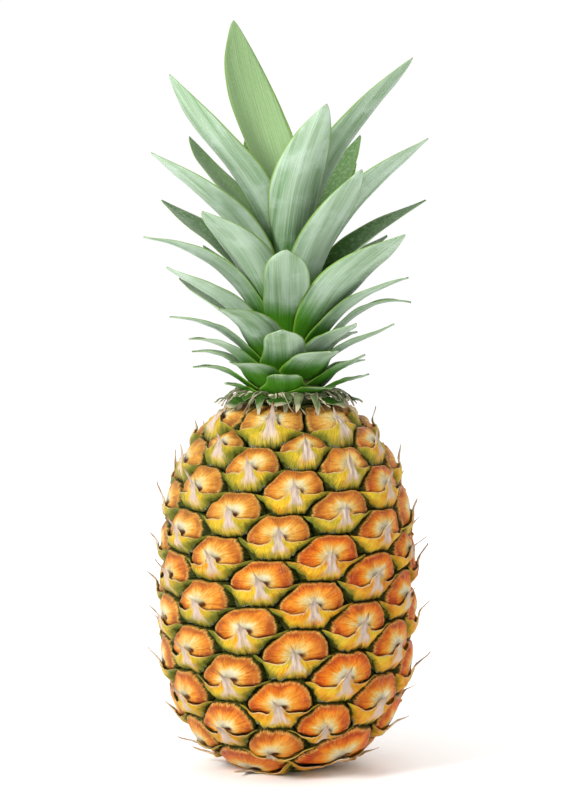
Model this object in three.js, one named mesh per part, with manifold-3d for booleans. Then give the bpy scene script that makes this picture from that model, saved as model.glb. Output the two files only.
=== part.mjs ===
// A ripe pineapple that stands on its cut stalk, with its whole leafy crown.
// Millimetres, +Z up. The origin is the middle of the flat base that the fruit stands on.
// Its front faces -Y. A bearing is an angle in degrees from the front towards +X.
import * as THREE from "three";
import { ConvexHull } from "three/addons/math/ConvexHull.js";
import { mergeVertices } from "three/addons/utils/BufferGeometryUtils.js";
import Module from "manifold-3d";

// ---- Driving dimensions ----
const FRUIT_HEIGHT = 182;
const FRUIT_RADIUS = 64; // across the crests of the eyes, at the widest
const FLAT_RADIUS = 19; // of the flat base
const TOP_RADIUS = 25; // of the flat seat around the crown
const GAP = 0.4; // between pieces that meet

// Height and radius of the fruit's outline, as shares of its height and widest radius.
const OUTLINE = [
  [0.0, 0.3],
  [0.02, 0.5],
  [0.05, 0.63],
  [0.1, 0.76],
  [0.17, 0.88],
  [0.26, 0.96],
  [0.36, 0.992],
  [0.46, 1.0],
  [0.57, 0.99],
  [0.68, 0.966],
  [0.77, 0.915],
  [0.85, 0.822],
  [0.92, 0.69],
  [0.97, 0.55],
  [1.0, 0.39],
];

// Eyes follow one spiral. Their skin area shrinks from the foot to the shoulder.
const EYE_TURN = -137.87; // bearing from one eye to the next one up
const EYE_START = -126.8; // bearing of the lowest eye
const EYE_AREA_LOW = 835;
const EYE_AREA_HIGH = 532;
const FIRST_EYE_AREA = 620; // skin below the middle of the lowest eye
const LAST_EYE_AREA = 800; // skin left above the middle of the highest eye
const EYE_TILT = 0.115; // rise of the rows of eyes per millimetre towards +X
// Eyes that grew a little off the spiral: [eye, millimetres towards +X, millimetres up].
const EYE_NUDGES = [
  [6, 6, -3],
  [11, 4, 0],
  [19, 3, -1],
  [32, -3, 2],
  [35, -3, 2],
  [40, -7, 4],
  [48, -6, 5],
  [53, 3, -4],
  [61, 2, -3],
  [69, 1, -3],
  [79, 2, -4],
];
const GROOVE_DEPTH = 5;
const EYE_SHOULDER = { share: 0.84, lift: -0.8 }; // of the way to the groove, and its height over the crest
const EYE_CROWN = { share: 0.2, lift: 0.3 };
const EYE_TIP = { lift: 3.5, rise: 2 }; // how far the dry tip stands out of its eye, and points up

const STALK_RADIUS = 12; // of the hollow that holds the stalk
const STALK_SOCKET = 6; // depth of that hollow
const STALK_CLEARANCE = 0.9;
const STALK_TAPER = 0.6;
const STEM_RADIUS = 17.5; // of the crown's stem at the seat
const STEM_SOCKET = 5;
const STEM_SHOULDER = 0.8; // step in from the socket to the part that carries the leaves
const STEM_TIP_RADIUS = 2.6;
const STEM_TAPER_POWER = 1.15; // above 1, the stem is slimmer in its middle than a cone
const STEM_TOP = 250;
const STEM_LEVELS = [183, 192, 202, 212, 222, 232, 240, STEM_TOP];

// Crown leaves in the order of their feet, from the lowest to the highest:
// [bearing, reach of the tip, height of the tip, width, lean of the tip from upright, sideways sweep,
// roll: height of the margin on its +bearing side over the other margin, halfway along]
const CROWN_LEAVES = [
  [-70, 33, 191, 15, 84, 0, 0],
  [35, 36, 190, 20, 92, 0, 0],
  [155, 38, 193, 17, 88, 4, 0],
  [-3, 39, 197, 19, 82, 0, 0],
  [78, 41, 196, 13, 68, 0, 0],
  [-145, 42, 198, 17, 85, -4, 0],
  [-82, 47, 199, 13, 100, 0, 0],
  [120, 45, 201, 15, 84, 0, 0],
  [-36, 44, 203, 25, 88, 0, 0],
  [68, 41, 206, 15, 58, 0, 0],
  [177, 49, 206, 19, 86, 5, 0],
  [-98, 48, 206, 13, 98, 0, 0],
  [27, 46, 209, 25, 80, 0, 0],
  [-65, 53, 214, 17, 92, 0, 0],
  [143, 54, 214, 18, 84, -4, 0],
  [-3, 52, 220, 22, 66, 0, 0],
  [75, 54, 221, 15, 58, 0, 0],
  [-158, 60, 223, 19, 80, 5, 0],
  [-78, 59, 224, 16, 88, 0, 0],
  [46, 46, 222, 19, 58, 0, 0],
  [-32, 61, 230, 27, 84, 0, 0],
  [84, 61, 231, 15, 104, 0, 0],
  [168, 64, 234, 20, 78, -5, 0],
  [-113, 59, 242, 19, 48, 0, 0],
  [66, 64, 244, 19, 72, 0, 0],
  [-62, 66, 249, 19, 60, 0, 4],
  [135, 64, 250, 21, 70, 4, 0],
  [50, 73, 265, 28, 60, 0, -10],
  [-1, 60, 256.5, 25, 62, 0, 0],
  [-150, 66, 258, 21, 70, -4, 0],
  [-68, 75, 263, 19, 82, 0, 3],
  [-128, 54, 256, 16, 46, 0, 0],
  [120, 60, 263, 21, 60, 3, 0],
  [-40, 63, 276, 30, 62, 0, 4],
  [175, 68, 279, 23, 62, 5, 0],
  [104, 71, 281, 23, 60, 0, 7],
  [-110, 67, 281, 23, 50, 0, -9],
  [36, 60, 296, 27, 40, 0, 0],
  [66, 74, 310, 27, 55, 0, -8],
  [152, 66, 300, 24, 50, -4, 0],
  [-62, 74, 304, 25, 56, 0, 6],
  [-165, 64, 314, 25, 46, 4, 0],
  [134, 51, 313, 25, 30, 0, 0],
  [-122, 58, 310, 25, 24, 0, 0],
  [6, 54, 327, 31, 26, 14, 0],
  [-172, 56, 322, 27, 36, 3, 0],
  [-50, 73, 340, 31, 34, 0, 0],
  [57, 71, 349, 31, 46, 0, 0],
  [-152, 58, 369.5, 34, 10, 0, 0],
];
const LOWEST_LEAF = { foot: 184.8, lean: 56, fold: 1.5, flare: 1.7, color: 0x6f9a3c };
const HIGHEST_LEAF = { foot: 241, lean: 3, fold: 4, flare: 0.9, color: 0xa3bd96 };
const FOOT_POWER = 1.3; // above 1, the lower leaves sit closer together on the stem
const LEAN_POWER = 1.1; // the same for the lean of the feet from upright
const LEAF_THICKNESS = 1.0;
const LEAF_TIP_THICKNESS = 0.6; // as a share of the foot's
const LEAF_MARGIN_THICKNESS = 0.2; // as a share of the middle's
const LEAF_WRAP = 40; // the most that a leaf's foot wraps to each side of its middle, degrees
const LEAF_FOOT_CLEARANCE = 1.08; // radius of the feet as a share of the stem's
const LEAF_HOLD = 0.4; // share of its length over which a leaf keeps its foot's direction
const LEAF_ARCH = 0.36; // share of its length over which it keeps its tip's direction
const LEAF_TAPER = 4.5; // the larger, the closer to its tip a leaf starts to narrow
const LEAF_POINT = 0.85; // below 1, the margins run into the tip in a rounded curve
const RINGS_PER_LEAF = 9;
const LAST_RING = 0.97; // share of a leaf's length where its tip starts
const SETTLING = { tries: 40, lean: -0.6, foot: 0.25, tip: 0.2, clearance: 1.5 * GAP };

// Dry collar leaves on the shoulder: [bearing, reach of the tip, height of the tip, width]
const COLLAR_LEAVES = [
  [-52, 38, 181, 15],
  [-8, 35, 182, 14],
  [48, 37, 181, 15],
  [100, 38, 181, 13],
  [150, 36, 182, 14],
  [-158, 37, 181, 15],
  [-105, 38, 181, 13],
];
const COLLAR = {
  foot: 184.2,
  footLean: 72,
  tipLean: 112,
  fold: -1,
  flare: 1,
  sweep: 0,
  roll: 0,
  thickness: 1,
};

const wasm = await Module();
wasm.setup();

const radians = THREE.MathUtils.degToRad;
const mix = THREE.MathUtils.lerp;

function atBearing(bearing, reach, height) {
  const angle = radians(bearing);
  return new THREE.Vector3(reach * Math.sin(angle), -reach * Math.cos(angle), height);
}

// ---- Closed meshes ----

// A closed geometry from triangles of points, with its faces turned outwards.
function closedGeometry(triangles) {
  let volume = 0;
  for (const [a, b, c] of triangles) volume += a.dot(b.clone().cross(c));
  const outward = volume > 0 ? triangles : triangles.map(([a, b, c]) => [a, c, b]);
  const coordinates = outward.flat().flatMap((point) => point.toArray());
  const soup = new THREE.BufferGeometry();
  soup.setAttribute("position", new THREE.Float32BufferAttribute(coordinates, 3));
  const geometry = mergeVertices(soup, 1e-3);
  geometry.computeVertexNormals();
  return geometry;
}

function centreOf(points) {
  const sum = points.reduce((total, point) => total.add(point), new THREE.Vector3());
  return sum.divideScalar(points.length);
}

// Triangles between two closed rings of equally many points. From the turning point on, each
// four-sided patch is halved along its other diagonal.
function band(ringA, ringB, turning = ringA.length) {
  return ringA.flatMap((a, i) => {
    const j = (i + 1) % ringA.length;
    const [b, c, d] = [ringA[j], ringB[j], ringB[i]];
    return i < turning ? [[a, b, c], [a, c, d]] : [[a, b, d], [b, c, d]];
  });
}

// Triangles from a closed ring to one point.
function fan(ring, apex) {
  return ring.map((point, i) => [point, ring[(i + 1) % ring.length], apex]);
}

function loft(rings) {
  const bottom = fan(rings[0], centreOf(rings[0])).map(([a, b, c]) => [b, a, c]);
  const sides = rings.slice(1).flatMap((ring, i) => band(rings[i], ring));
  return closedGeometry([...bottom, ...sides, ...fan(rings.at(-1), centreOf(rings.at(-1)))]);
}

function circle(radius, height, count = 24) {
  return Array.from({ length: count }, (_, i) => atBearing((360 * i) / count, radius, height));
}

function namedMesh(name, geometry, color, roughness) {
  const material = new THREE.MeshStandardMaterial({ color, roughness, metalness: 0 });
  const mesh = new THREE.Mesh(geometry, material);
  mesh.name = name;
  return mesh;
}

// ---- Fruit ----

// The outline as small steps, each with its height, radius, skin area below it and isometric latitude.
function fruitSkin() {
  const points = OUTLINE.map(([z, r]) => new THREE.Vector2(r * FRUIT_RADIUS, z * FRUIT_HEIGHT));
  const outline = new THREE.SplineCurve(points).getPoints(600);
  const steps = [{ z: 0, r: outline[0].x, area: 0, latitude: 0 }];
  for (const point of outline.slice(1)) {
    const last = steps.at(-1);
    const length = Math.hypot(point.x - last.r, point.y - last.z);
    const middleRadius = (point.x + last.r) / 2;
    steps.push({
      z: point.y,
      r: point.x,
      area: last.area + 2 * Math.PI * middleRadius * length,
      latitude: last.latitude + length / middleRadius,
    });
  }
  return steps;
}

const SKIN = fruitSkin();

// The skin's step at a given value of one of its growing quantities, between the two nearest.
function skinAt(key, value) {
  const i = Math.max(1, SKIN.findIndex((step) => step[key] >= value));
  const [low, high] = value > SKIN.at(-1)[key] ? SKIN.slice(-2) : [SKIN[i - 1], SKIN[i]];
  const share = THREE.MathUtils.clamp((value - low[key]) / (high[key] - low[key]), 0, 1);
  const between = {};
  for (const name of Object.keys(low)) between[name] = mix(low[name], high[name], share);
  return between;
}

function outwardAt(bearing, z) {
  const above = skinAt("z", z + 1);
  const below = skinAt("z", z - 1);
  const slope = (above.r - below.r) / Math.max(above.z - below.z, 0.1);
  return atBearing(bearing, 1, -slope).normalize();
}

// The middles of all eyes, spaced so that each has its own share of the skin.
function eyeMiddles() {
  const total = SKIN.at(-1).area;
  const eyes = [];
  let bearing = EYE_START;
  for (let area = FIRST_EYE_AREA; area < total - LAST_EYE_AREA; ) {
    const level = skinAt("area", area);
    const [, aside, up] = EYE_NUDGES.find(([eye]) => eye === eyes.length) ?? [0, 0, 0];
    const z = level.z + EYE_TILT * level.r * Math.sin(radians(bearing)) + up;
    const step = skinAt("z", THREE.MathUtils.clamp(z, 2, FRUIT_HEIGHT - 1.5));
    eyes.push({ ...step, bearing: bearing + THREE.MathUtils.radToDeg(aside / step.r) });
    area += mix(EYE_AREA_LOW, EYE_AREA_HIGH, area / total);
    bearing += EYE_TURN;
  }
  return eyes;
}

// Neighbouring eyes: the skin is laid on a unit sphere without changing its angles, and the
// sphere's points are joined by their convex hull. Each corner is where three sites meet.
function neighbourTriangles(eyes) {
  const equator = skinAt("z", FRUIT_HEIGHT / 2).latitude;
  const onSphere = eyes.map(({ bearing, latitude }) => {
    const height = Math.tanh(latitude - equator);
    return atBearing(bearing, Math.sqrt(1 - height * height), height);
  });
  const sites = [...onSphere, new THREE.Vector3(0, 0, -1), new THREE.Vector3(0, 0, 1)];
  const hull = new ConvexHull().setFromPoints(sites);
  return hull.faces.map((face) => {
    const edges = [face.edge, face.edge.next, face.edge.prev];
    return edges.map((edge) => sites.indexOf(edge.head().point));
  });
}

function fruitGeometry() {
  const eyes = eyeMiddles();
  const baseSite = eyes.length;
  const topSite = eyes.length + 1;
  const crests = eyes.map(({ bearing, r, z }) => atBearing(bearing, r, z));

  // A corner lies in the groove between three eyes, or on the rim of the base or of the seat.
  const cornerOf = (sites) => {
    const middle = centreOf(sites.filter((i) => i < eyes.length).map((i) => crests[i]));
    const bearing = THREE.MathUtils.radToDeg(Math.atan2(middle.x, -middle.y));
    if (sites.includes(baseSite)) return atBearing(bearing, FLAT_RADIUS, 0);
    if (sites.includes(topSite)) return atBearing(bearing, TOP_RADIUS, FRUIT_HEIGHT);
    const level = skinAt("z", middle.z);
    const crest = atBearing(bearing, level.r, level.z);
    return crest.addScaledVector(outwardAt(bearing, level.z), -GROOVE_DEPTH);
  };
  const corners = neighbourTriangles(eyes).map((sites) => ({ sites, point: cornerOf(sites) }));

  // The rim of a site's cell: its corners in order, with the middle of each side between them.
  const rimOf = (site) => {
    const left = corners.filter(({ sites }) => sites.includes(site));
    const rim = [left.pop()];
    while (left.length) {
      const shares = ({ sites }) => sites.filter((i) => rim.at(-1).sites.includes(i)).length === 2;
      rim.push(...left.splice(left.findIndex(shares), 1));
    }
    return rim.flatMap(({ point }, i) => {
      const next = rim[(i + 1) % rim.length].point;
      return [point, point.clone().add(next).multiplyScalar(0.5)];
    });
  };

  const triangles = eyes.flatMap((eye, i) => {
    const outward = outwardAt(eye.bearing, eye.z);
    const rim = rimOf(i);
    const ringAt = ({ share, lift }) =>
      rim.map((point) => {
        const level = point.clone().sub(crests[i]);
        level.addScaledVector(outward, -level.dot(outward) * (1 - share));
        return crests[i].clone().addScaledVector(level, share).addScaledVector(outward, lift);
      });
    const shoulder = ringAt(EYE_SHOULDER);
    const crown = ringAt(EYE_CROWN);
    const tip = crests[i].clone().addScaledVector(outward, EYE_TIP.lift);
    tip.z += EYE_TIP.rise;
    return facingOut(outward, [...band(rim, shoulder), ...band(shoulder, crown), ...fan(crown, tip)]);
  });

  const base = socket(rimOf(baseSite), STALK_RADIUS + GAP, 0, STALK_SOCKET);
  const seat = socket(rimOf(topSite), STEM_RADIUS + GAP, FRUIT_HEIGHT, FRUIT_HEIGHT - STEM_SOCKET);
  const down = new THREE.Vector3(0, 0, -1);
  const up = new THREE.Vector3(0, 0, 1);
  return closedGeometry([...triangles, ...facingOut(down, base), ...facingOut(up, seat)]);
}

// Turns a patch of triangles so that its first one faces along the given direction.
function facingOut(direction, triangles) {
  const area = triangles.reduce((sum, [a, b, c]) => {
    return sum.add(b.clone().sub(a).cross(c.clone().sub(a)));
  }, new THREE.Vector3());
  return area.dot(direction) > 0 ? triangles : triangles.map(([a, b, c]) => [a, c, b]);
}

// A flat face inside a rim with a round socket in its middle.
function socket(rim, radius, mouth, floor) {
  const bearings = rim.map((point) => THREE.MathUtils.radToDeg(Math.atan2(point.x, -point.y)));
  const mouthRing = bearings.map((bearing) => atBearing(bearing, radius, mouth));
  const floorRing = bearings.map((bearing) => atBearing(bearing, radius, floor));
  const middle = new THREE.Vector3(0, 0, floor);
  return [...band(rim, mouthRing), ...band(mouthRing, floorRing), ...fan(floorRing, middle)];
}

function stalkGeometry() {
  const radius = STALK_RADIUS - STALK_CLEARANCE;
  return loft([circle(radius, 0), circle(radius - STALK_TAPER, STALK_SOCKET - GAP)]);
}

// ---- Crown ----

// Radius of the crown's stem at a height.
function stemRadius(z) {
  const share = THREE.MathUtils.clamp((z - FRUIT_HEIGHT) / (STEM_TOP - FRUIT_HEIGHT), 0, 1);
  return mix(STEM_RADIUS - STEM_SHOULDER, STEM_TIP_RADIUS, share ** STEM_TAPER_POWER);
}

function stemGeometry() {
  const foot = FRUIT_HEIGHT - STEM_SOCKET + GAP;
  const root = circle(STEM_RADIUS - STEM_SHOULDER, foot);
  return loft([root, ...STEM_LEVELS.map((z) => circle(stemRadius(z), z))]);
}

// A leaf is a thin channel along an arching spine that starts on the stem. Near its foot it wraps
// around the crown's axis, and further out it is folded up along both margins.
function leafRings(leaf) {
  const chord = Math.hypot(leaf.reach - leaf.footReach, leaf.tipHeight - leaf.footHeight);
  const handle = (lean, length) =>
    new THREE.Vector2(Math.sin(radians(lean)), Math.cos(radians(lean))).multiplyScalar(length);
  const foot = new THREE.Vector2(leaf.footReach, leaf.footHeight);
  const tip = new THREE.Vector2(leaf.reach, leaf.tipHeight);
  const spine = new THREE.CubicBezierCurve(
    foot,
    foot.clone().add(handle(leaf.footLean, LEAF_HOLD * chord)),
    tip.clone().sub(handle(leaf.tipLean, LEAF_ARCH * chord)),
    tip,
  );
  const ringAt = (share) => {
    const point = spine.getPoint(share);
    const along = spine.getTangent(share);
    const width = leaf.width * leafWidthShare(share, leaf.flare);
    const wrap = Math.min(radians(LEAF_WRAP), width / 2 / point.x);
    const free = Math.sin(Math.PI * Math.min(share, 0.5)) ** 2 * (1 - share ** 2);
    const thickness = leaf.thickness * mix(1, LEAF_TIP_THICKNESS, share);
    const bearing = leaf.bearing + leaf.sweep * share ** 2;
    const place = (across, side) => {
      const body = thickness * mix(1, LEAF_MARGIN_THICKNESS, across ** 2);
      const turned = free * (leaf.fold * across ** 2 + (leaf.roll / 2) * across);
      const lift = turned + (side * body) / 2;
      const turn = bearing + THREE.MathUtils.radToDeg(wrap) * across;
      return atBearing(turn, point.x - along.y * lift, point.y + along.x * lift);
    };
    const upper = [-0.55, 0, 0.55].map((across) => place(across, 1));
    const lower = [0.55, 0, -0.55].map((across) => place(across, -1));
    return [place(-1, 0), ...upper, place(1, 0), ...lower];
  };
  const rings = Array.from({ length: RINGS_PER_LEAF }, (_, i) => {
    return ringAt((LAST_RING * i) / (RINGS_PER_LEAF - 1));
  });
  return { rings, tip: atBearing(leaf.bearing + leaf.sweep, tip.x, tip.y) };
}

// The lower side of a leaf is halved along the same diagonals as its upper side, so that the two
// never pass through each other.
function leafGeometry(leaf) {
  const { rings, tip } = leafRings(leaf);
  const sides = rings.slice(1).flatMap((ring, i) => band(rings[i], ring, ring.length / 2));
  return closedGeometry([...footFace(rings[0]), ...sides, ...fan(rings.at(-1), tip)]);
}

// The face across a leaf's foot, in patches from its upper to its lower side.
function footFace(ring) {
  const count = ring.length;
  const patches = Array.from({ length: count / 2 }, (_, i) => {
    const [a, b, c, d] = [ring[i], ring[i + 1], ring[count - 1 - i], ring[(count - i) % count]];
    return [[b, a, d], [b, d, c]];
  });
  return patches.flat().filter(([a, b, c]) => a !== b && b !== c && c !== a);
}

// Width along a leaf as a share of its blade's: a clasping foot, a long blade and a drawn-out point.
function leafWidthShare(share, flare) {
  const foot = Math.cos(Math.PI * Math.min(share * 1.4, 0.5)) ** 2;
  return mix(1, flare, foot) * (1 - share ** LEAF_TAPER) ** LEAF_POINT;
}

function asSolid(geometry) {
  return new wasm.Manifold(
    new wasm.Mesh({
      numProp: 3,
      vertProperties: geometry.getAttribute("position").array,
      triVerts: new Uint32Array(geometry.index.array),
    }),
  );
}

function footReach(height) {
  return LEAF_FOOT_CLEARANCE * stemRadius(height) + GAP + LEAF_THICKNESS / 2;
}

// Where a leaf would cut through one below it, it rises more steeply before it arches out.
function settledLeaf(leaf, placed) {
  const thickness = leaf.thickness + SETTLING.clearance;
  for (let tries = 0; tries < SETTLING.tries; tries++) {
    const envelope = asSolid(leafGeometry({ ...leaf, thickness }));
    const clear = placed.every((solid) => solid.intersect(envelope).volume() < 1e-3);
    if (clear) break;
    leaf.footLean += SETTLING.lean;
    leaf.footHeight += SETTLING.foot;
    leaf.tipHeight += SETTLING.tip;
    leaf.footReach = footReach(leaf.footHeight);
  }
  const geometry = leafGeometry(leaf);
  placed.push(asSolid(geometry));
  return geometry;
}

function crownLeaves(placed) {
  return CROWN_LEAVES.map(([bearing, reach, tipHeight, width, tipLean, sweep, roll], i) => {
    const rank = i / (CROWN_LEAVES.length - 1);
    const footHeight = mix(LOWEST_LEAF.foot, HIGHEST_LEAF.foot, rank ** FOOT_POWER);
    const leaf = {
      bearing,
      reach,
      tipHeight,
      width,
      tipLean,
      sweep,
      roll,
      footHeight,
      footReach: footReach(footHeight),
      footLean: mix(LOWEST_LEAF.lean, HIGHEST_LEAF.lean, rank ** LEAN_POWER),
      fold: mix(LOWEST_LEAF.fold, HIGHEST_LEAF.fold, rank),
      flare: mix(LOWEST_LEAF.flare, HIGHEST_LEAF.flare, rank),
      thickness: LEAF_THICKNESS,
    };
    const name = `crown_leaf_${String(i + 1).padStart(2, "0")}`;
    const low = new THREE.Color(LOWEST_LEAF.color);
    const green = low.lerp(new THREE.Color(HIGHEST_LEAF.color), rank);
    return namedMesh(name, settledLeaf(leaf, placed), green, 0.5);
  });
}

function collarLeaves(placed) {
  return COLLAR_LEAVES.map(([bearing, reach, tipHeight, width], i) => {
    const { foot: footHeight, ...shape } = COLLAR;
    const footReach = STEM_RADIUS + GAP;
    const leaf = { bearing, reach, tipHeight, width, footHeight, footReach, ...shape };
    return namedMesh(`collar_leaf_${i + 1}`, settledLeaf(leaf, placed), 0x5a5a2c, 0.7);
  });
}

// ---- The whole ----
const pineapple = new THREE.Group();
pineapple.name = "pineapple";
const fruit = fruitGeometry();
const stem = stemGeometry();
const placed = [asSolid(fruit), asSolid(stem)];
pineapple.add(namedMesh("fruit", fruit, 0xc07a2a, 0.55));
pineapple.add(namedMesh("cut_stalk", stalkGeometry(), 0xb59a66, 0.8));
pineapple.add(namedMesh("crown_stem", stem, 0xb9c48a, 0.6));
pineapple.add(...collarLeaves(placed));
pineapple.add(...crownLeaves(placed));

export default pineapple;
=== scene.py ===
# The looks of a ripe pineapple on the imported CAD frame. Metres, +Z up, the front faces -Y.
import math
import random

import bmesh
import bpy
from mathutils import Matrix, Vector, noise


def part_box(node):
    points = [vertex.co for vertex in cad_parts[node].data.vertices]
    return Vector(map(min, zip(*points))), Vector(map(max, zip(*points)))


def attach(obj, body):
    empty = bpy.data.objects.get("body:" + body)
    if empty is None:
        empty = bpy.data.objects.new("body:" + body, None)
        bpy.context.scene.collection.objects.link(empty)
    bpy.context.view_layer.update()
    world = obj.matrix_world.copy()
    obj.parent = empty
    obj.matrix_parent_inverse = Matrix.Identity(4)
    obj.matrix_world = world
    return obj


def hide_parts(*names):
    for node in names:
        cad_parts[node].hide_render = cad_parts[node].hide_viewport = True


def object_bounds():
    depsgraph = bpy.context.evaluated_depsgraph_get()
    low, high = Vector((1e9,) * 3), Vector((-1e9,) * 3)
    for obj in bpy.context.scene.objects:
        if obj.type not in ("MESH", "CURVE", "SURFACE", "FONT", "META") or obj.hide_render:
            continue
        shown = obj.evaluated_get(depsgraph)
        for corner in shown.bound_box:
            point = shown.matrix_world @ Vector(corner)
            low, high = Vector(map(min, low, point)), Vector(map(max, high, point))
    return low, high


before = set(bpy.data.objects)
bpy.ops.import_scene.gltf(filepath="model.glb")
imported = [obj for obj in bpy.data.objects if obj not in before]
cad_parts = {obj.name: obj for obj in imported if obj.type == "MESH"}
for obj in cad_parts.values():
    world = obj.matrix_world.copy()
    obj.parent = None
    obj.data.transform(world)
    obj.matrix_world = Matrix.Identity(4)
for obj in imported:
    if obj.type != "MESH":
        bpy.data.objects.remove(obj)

MM = 0.001
UP = Vector((0, 0, 1))
CAD_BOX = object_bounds()
EYE_SEED, LEAF_SEED, COLLAR_SEED, FRINGE_SEED = 4200, 900, 300, 77


# ---- Reading the frame ----


def surface_of(node):
    """A CAD node's corner points, with the doubled ones joined, and each one's set of neighbours."""
    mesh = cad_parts[node].data
    keys = {}
    index = []
    points = []
    for vertex in mesh.vertices:
        key = tuple(round(c / 2e-6) for c in vertex.co)
        if key not in keys:
            keys[key] = len(points)
            points.append(vertex.co.copy())
        index.append(keys[key])
    neighbours = [set() for _ in points]
    for edge in mesh.edges:
        a, b = (index[v] for v in edge.vertices)
        if a != b:
            neighbours[a].add(b)
            neighbours[b].add(a)
    return points, neighbours


def rings_from(start, neighbours, count=None):
    """Sets of points at one, two, three ... edges from a start point."""
    seen = {start}
    rings = [{start}]
    while rings[-1] and (count is None or len(rings) <= count):
        ring = {n for v in rings[-1] for n in neighbours[v]} - seen
        seen |= ring
        rings.append(ring)
    return [ring for ring in rings[1:] if ring]


def mean(points):
    points = list(points)
    return sum(points, Vector()) / len(points)


def mix(a, b, share):
    return a + (b - a) * share


def smooth(low, high, value):
    """0 below low, 1 above high, and an S-curve between them."""
    share = min(max((value - low) / (high - low), 0.0), 1.0)
    return share * share * (3 - 2 * share)


def wobble(point, scale, seed=0.0):
    """A smooth repeatable value from -1 to 1 for a place."""
    return noise.noise(Vector((point[0] * scale + seed, point[1] * scale - seed, point[2] * scale)))


# ---- Meshes ----


class Build:
    """Collects points, faces and values at face corners, and makes one mesh object of them."""

    def __init__(self):
        self.points = []
        self.faces = []
        self.corner_values = {}

    def add(self, point):
        self.points.append(Vector(point))
        return len(self.points) - 1

    def face(self, corners, **values):
        self.faces.append(corners)
        for name, listed in values.items():
            self.corner_values.setdefault(name, []).extend(listed)

    def strip(self, ring_a, ring_b, closed=False, **values):
        """Four-sided faces between two equally long rows of points. Each value is (row a's, row b's)."""
        count = len(ring_a)
        for i in range(count if closed else count - 1):
            j = (i + 1) % count
            corners = [ring_a[i], ring_a[j], ring_b[j], ring_b[i]]
            listed = {name: [a[i], a[j], b[j], b[i]] for name, (a, b) in values.items()}
            self.face(corners, **listed)

    def make(self, name, material, merge=1e-6):
        """One smooth mesh object of what was collected, riding on the part's only body."""
        mesh = bpy.data.meshes.new(name)
        mesh.from_pydata(self.points, [], self.faces)
        for key, listed in self.corner_values.items():
            if len(listed[0]) == 2:
                layer = mesh.uv_layers.new(name=key)
                layer.data.foreach_set("uv", [c for value in listed for c in value])
            else:
                layer = mesh.color_attributes.new(name=key, type="FLOAT_COLOR", domain="CORNER")
                layer.data.foreach_set("color", [c for value in listed for c in (*value, 1.0)])
        piece = bpy.data.objects.new(name, mesh)
        bpy.context.scene.collection.objects.link(piece)
        join_doubles(mesh, merge)
        mesh.polygons.foreach_set("use_smooth", [True] * len(mesh.polygons))
        mesh.materials.append(material)
        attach(piece, "root")
        return piece


def paired(values_a, values_b):
    """The values of two rows of points, as a strip takes them."""
    return {name: (listed, values_b[name]) for name, listed in values_a.items()}


def join_doubles(mesh, distance):
    """Joins points closer than the distance, and turns all faces outwards."""
    work = bmesh.new()
    work.from_mesh(mesh)
    bmesh.ops.remove_doubles(work, verts=work.verts, dist=distance)
    bmesh.ops.recalc_face_normals(work, faces=work.faces)
    work.to_mesh(mesh)
    work.free()


# ---- Materials ----


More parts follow.
